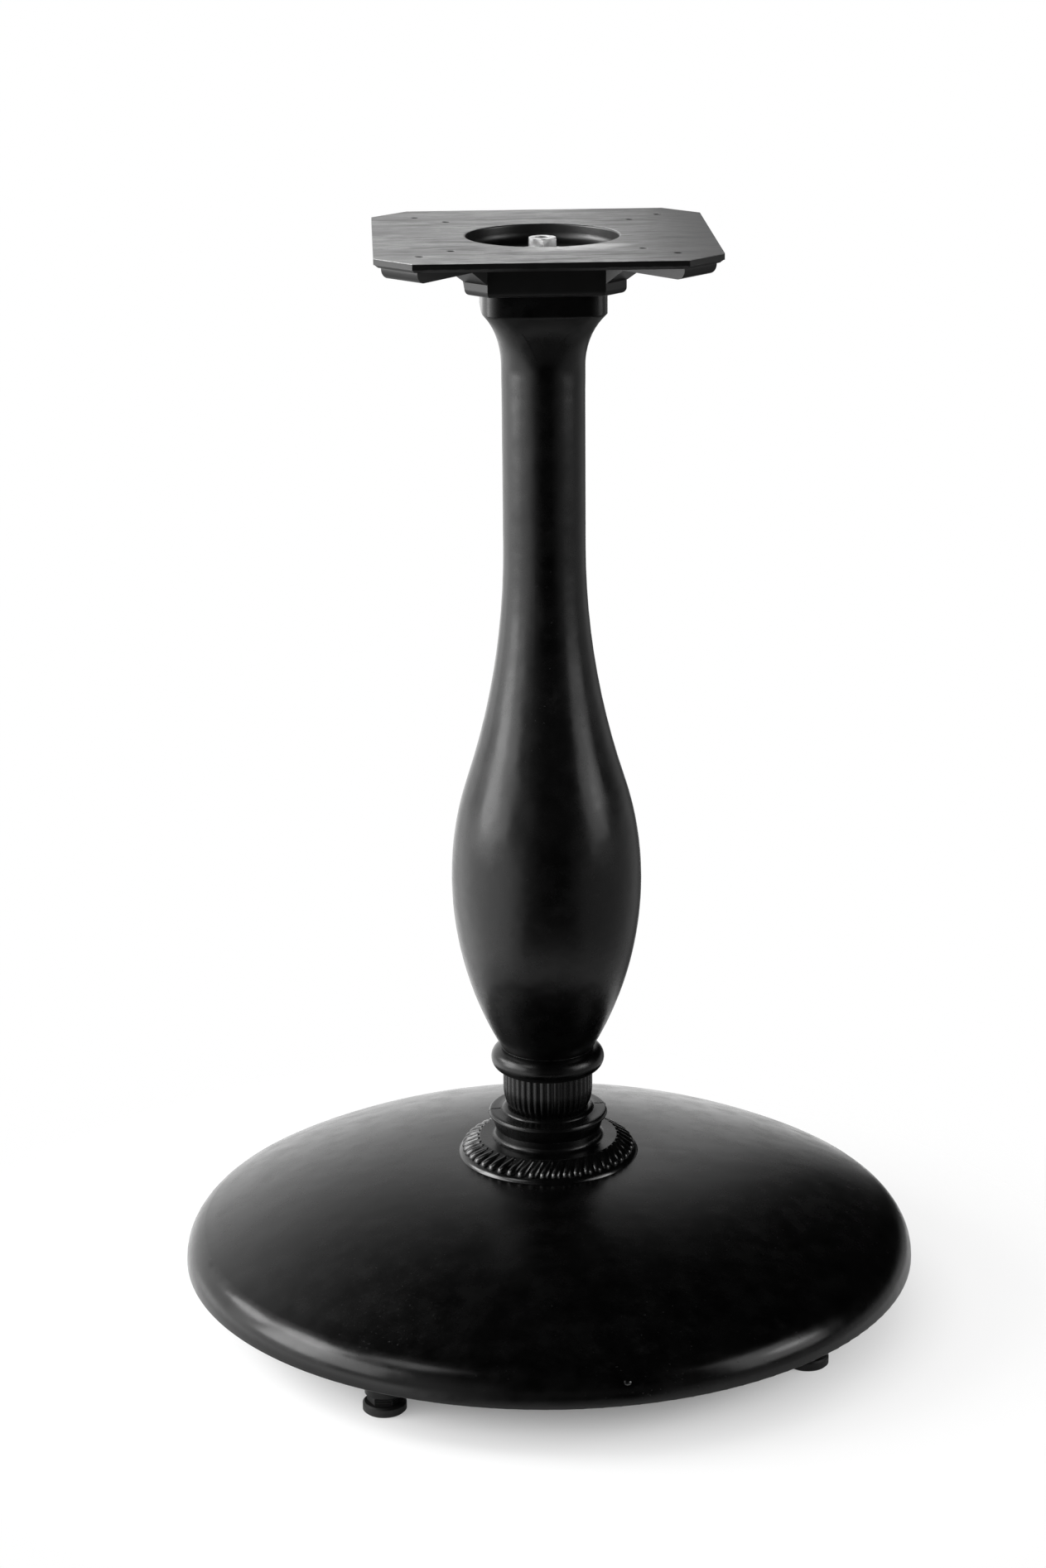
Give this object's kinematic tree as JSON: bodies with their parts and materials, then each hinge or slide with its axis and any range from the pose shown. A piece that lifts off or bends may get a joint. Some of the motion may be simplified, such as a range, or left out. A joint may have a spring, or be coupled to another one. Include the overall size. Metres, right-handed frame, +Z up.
{
  "type": "pedestal table base",
  "caption": "Black cast pedestal table base: a domed round foot on levelling glides, a baluster column and a square screw-on plate that carries a table top.",
  "frame": {"origin": "on the floor, under the column's axis", "axes": "+Z up the column, +X and +Y along the sides of the top plate"},
  "size_m": [0.5, 0.5, 0.74],
  "materials": {
    "black_casting": "satin black paint over a cast surface",
    "zinc_steel": "bright zinc plating",
    "glide_plastic": "matte black moulding",
    "black_steel": "black oxide"
  },
  "bodies": {
    "base": {"base_dome": "black_casting", "column": "black_casting", "top_plate": "black_casting", "tie_rod": "zinc_steel", "top_washer": "zinc_steel", "top_nut": "zinc_steel", "bottom_washer": "zinc_steel", "bottom_nut": "zinc_steel"},
    "glide_pad_1": {"glide_pad_1": "glide_plastic"},
    "glide_stud_1": {"glide_stud_1": "black_steel"},
    "glide_pad_2": {"glide_pad_2": "glide_plastic"},
    "glide_stud_2": {"glide_stud_2": "black_steel"},
    "glide_pad_3": {"glide_pad_3": "glide_plastic"},
    "glide_stud_3": {"glide_stud_3": "black_steel"},
    "glide_pad_4": {"glide_pad_4": "glide_plastic"},
    "glide_stud_4": {"glide_stud_4": "black_steel"}
  },
  "joints": [
    {"name": "glide_1_height", "type": "slide", "parent": "base", "child": "glide_pad_1", "axis": [0, 0, -1], "range_m": [0, 0.015]},
    {"name": "glide_1_turn", "type": "hinge", "parent": "glide_pad_1", "child": "glide_stud_1", "pos_m": [0.11615, 0.16649, 0.01], "axis": [0, 0, -1], "range_deg": [0, 3600]},
    {"name": "glide_2_height", "type": "slide", "parent": "base", "child": "glide_pad_2", "axis": [0, 0, -1], "range_m": [0, 0.015]},
    {"name": "glide_2_turn", "type": "hinge", "parent": "glide_pad_2", "child": "glide_stud_2", "pos_m": [-0.16649, 0.11615, 0.01], "axis": [0, 0, -1], "range_deg": [0, 3600]},
    {"name": "glide_3_height", "type": "slide", "parent": "base", "child": "glide_pad_3", "axis": [0, 0, -1], "range_m": [0, 0.015]},
    {"name": "glide_3_turn", "type": "hinge", "parent": "glide_pad_3", "child": "glide_stud_3", "pos_m": [-0.11615, -0.16649, 0.01], "axis": [0, 0, -1], "range_deg": [0, 3600]},
    {"name": "glide_4_height", "type": "slide", "parent": "base", "child": "glide_pad_4", "axis": [0, 0, -1], "range_m": [0, 0.015]},
    {"name": "glide_4_turn", "type": "hinge", "parent": "glide_pad_4", "child": "glide_stud_4", "pos_m": [0.16649, -0.11615, 0.01], "axis": [0, 0, -1], "range_deg": [0, 3600]}
  ],
  "couplings": [
    {"joint": "glide_1_turn", "follows": "glide_1_height", "rad_per_m": 4188.8},
    {"joint": "glide_2_turn", "follows": "glide_2_height", "rad_per_m": 4188.8},
    {"joint": "glide_3_turn", "follows": "glide_3_height", "rad_per_m": 4188.8},
    {"joint": "glide_4_turn", "follows": "glide_4_height", "rad_per_m": 4188.8}
  ]
}
